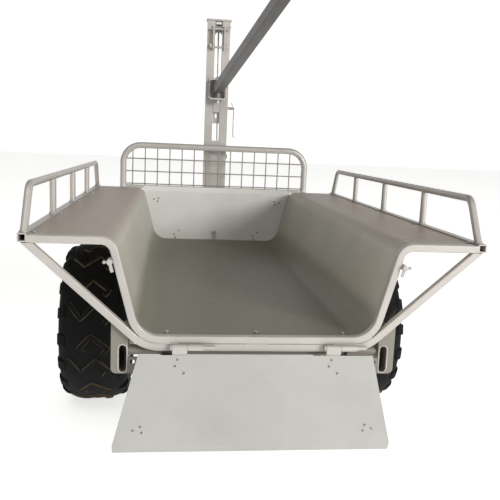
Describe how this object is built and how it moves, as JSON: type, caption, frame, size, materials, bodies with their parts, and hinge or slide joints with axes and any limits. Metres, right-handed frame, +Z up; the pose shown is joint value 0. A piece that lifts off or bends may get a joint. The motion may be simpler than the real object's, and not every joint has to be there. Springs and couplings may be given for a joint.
{
  "type": "tow behind cart",
  "caption": "Two-wheeled utility cart with a stepped sheet bed, side rails, drop tailgate, wire headboard, drawbar coupling and a small swinging crane.",
  "frame": {"origin": "on the ground, midway along and across the cart", "axes": "+Y towards the tow coupling, +X to the right seen from the tailgate, +Z up"},
  "size_m": [1.218, 2.85, 1.6431],
  "materials": {
    "bed_paint": "satin",
    "frame_paint": "satin",
    "gate_paint": "satin",
    "zinc_steel": "satin",
    "bearing_steel": "polished",
    "jib_paint": "satin",
    "forged_steel": "matte",
    "wire_rope": "satin",
    "tyre": "matte",
    "rim_paint": "satin",
    "grip": "matte"
  },
  "bodies": {
    "cart": {"tub_shell": "bed_paint", "rear_end_frame": "frame_paint", "rear_brace_tube": "frame_paint", "front_end_frame": "frame_paint", "front_brace_tube": "frame_paint", "side_tubes": "frame_paint", "side_rail_right": "frame_paint", "side_rail_left": "frame_paint", "guard_hoop": "frame_paint", "guard_mesh": "frame_paint", "hinge_barrels": "zinc_steel", "latch_bosses": "zinc_steel", "rear_sockets": "frame_paint", "rear_cross_tube": "frame_paint", "chassis_rails": "frame_paint", "cross_members": "frame_paint", "drawbar_tube": "frame_paint", "axle_beam": "frame_paint", "stub_axles": "zinc_steel", "mast_uprights": "frame_paint", "mast_post": "frame_paint", "mast_cap": "frame_paint", "mast_base": "frame_paint", "sheave_cage": "frame_paint", "hoist_rope_front": "wire_rope", "winch_frame": "frame_paint", "leg_bracket": "frame_paint", "sheet_bolts": "zinc_steel"},
    "tailgate": {"tailgate_panel": "gate_paint", "tailgate_hinges": "zinc_steel"},
    "front_gate": {"front_gate_panel": "gate_paint", "front_gate_hinges": "zinc_steel"},
    "rear_right_latch": {"latch_rear_right": "zinc_steel"},
    "rear_left_latch": {"latch_rear_left": "zinc_steel"},
    "front_right_latch": {"latch_front_right": "zinc_steel"},
    "front_left_latch": {"latch_front_left": "zinc_steel"},
    "right_wheel": {"tyre_right": "tyre", "rim_right": "rim_paint", "hub_right": "zinc_steel", "bearings_right": "bearing_steel"},
    "left_wheel": {"tyre_left": "tyre", "rim_left": "rim_paint", "hub_left": "zinc_steel", "bearings_left": "bearing_steel"},
    "carriage": {"carriage_slider": "zinc_steel", "carriage_bracket": "frame_paint", "carriage_keeper": "frame_paint", "jib_pin": "zinc_steel", "hoist_rope_drop": "wire_rope"},
    "jib": {"jib_arm": "jib_paint"},
    "hook": {"jib_hook": "forged_steel"},
    "lever": {"lock_lever": "zinc_steel"},
    "drum": {"winch_drum": "zinc_steel", "hoist_rope_coil": "wire_rope", "winch_crank": "zinc_steel", "winch_grip": "grip"},
    "pawl": {"winch_pawl": "zinc_steel"},
    "roller": {"sheave": "zinc_steel"},
    "leg": {"parking_leg": "frame_paint"},
    "coupling": {"coupling_clevis": "zinc_steel"}
  },
  "joints": [
    {"name": "tailgate_hinge", "type": "hinge", "parent": "cart", "child": "tailgate", "pos_m": [0, -1.41505, 0.443], "axis": [-1, 0, 0], "range_deg": [0, 180]},
    {"name": "front_gate_hinge", "type": "hinge", "parent": "cart", "child": "front_gate", "pos_m": [0, 0.28495, 0.443], "axis": [-1, 0, 0], "range_deg": [0, 70]},
    {"name": "rear_right_latch_turn", "type": "hinge", "parent": "cart", "child": "rear_right_latch", "pos_m": [0.3795, -1.41205, 0.66], "axis": [0, 1, 0], "range_deg": [0, 105]},
    {"name": "rear_left_latch_turn", "type": "hinge", "parent": "cart", "child": "rear_left_latch", "pos_m": [-0.3795, -1.41205, 0.66], "axis": [0, -1, 0], "range_deg": [0, 105]},
    {"name": "front_right_latch_turn", "type": "hinge", "parent": "cart", "child": "front_right_latch", "pos_m": [0.3795, 0.28195, 0.66], "axis": [0, 1, 0], "range_deg": [0, 105]},
    {"name": "front_left_latch_turn", "type": "hinge", "parent": "cart", "child": "front_left_latch", "pos_m": [-0.3795, 0.28195, 0.66], "axis": [0, -1, 0], "range_deg": [0, 105]},
    {"name": "right_wheel_roll", "type": "hinge", "parent": "cart", "child": "right_wheel", "pos_m": [0.484, -0.61405, 0.29], "axis": [1, 0, 0], "continuous": true},
    {"name": "left_wheel_roll", "type": "hinge", "parent": "cart", "child": "left_wheel", "pos_m": [-0.484, -0.61405, 0.29], "axis": [1, 0, 0], "continuous": true},
    {"name": "carriage_slide", "type": "slide", "parent": "cart", "child": "carriage", "axis": [0, 0, 1], "range_m": [-0.09, 0.14], "deforming": ["hoist_rope_drop"]},
    {"name": "jib_swing", "type": "hinge", "parent": "carriage", "child": "jib", "pos_m": [0, 0.50995, 1.233], "axis": [0, 0, 1], "range_deg": [-85, 65]},
    {"name": "hook_swing", "type": "hinge", "parent": "jib", "child": "hook", "pos_m": [0.23108, -0.80054, 1.56256], "axis": [0.9848, 0.1736, 0], "range_deg": [-50, 50]},
    {"name": "lever_slide", "type": "slide", "parent": "cart", "child": "lever", "axis": [-1, 0, 0], "range_m": [0, 0.018]},
    {"name": "drum_turn", "type": "hinge", "parent": "cart", "child": "drum", "pos_m": [0, 0.67095, 0.61], "axis": [1, 0, 0], "range_deg": [-250, 390]},
    {"name": "pawl_turn", "type": "hinge", "parent": "cart", "child": "pawl", "pos_m": [0.034, 0.70095, 0.662], "axis": [1, 0, 0], "range_deg": [0, 11]},
    {"name": "roller_turn", "type": "hinge", "parent": "cart", "child": "roller", "pos_m": [0, 0.60795, 1.556], "axis": [1, 0, 0], "range_deg": [-330, 215]},
    {"name": "leg_fold", "type": "hinge", "parent": "cart", "child": "leg", "pos_m": [0, 1.05495, 0.305], "axis": [-1, 0, 0], "range_deg": [0, 80]},
    {"name": "coupling_swivel", "type": "hinge", "parent": "cart", "child": "coupling", "pos_m": [0, 1.30495, 0.367], "axis": [0, 1, 0], "range_deg": [-90, 90]}
  ],
  "couplings": [
    {"joint": "drum_turn", "follows": "carriage_slide", "rad_per_m": 46.729},
    {"joint": "roller_turn", "follows": "carriage_slide", "rad_per_m": -39.37}
  ]
}
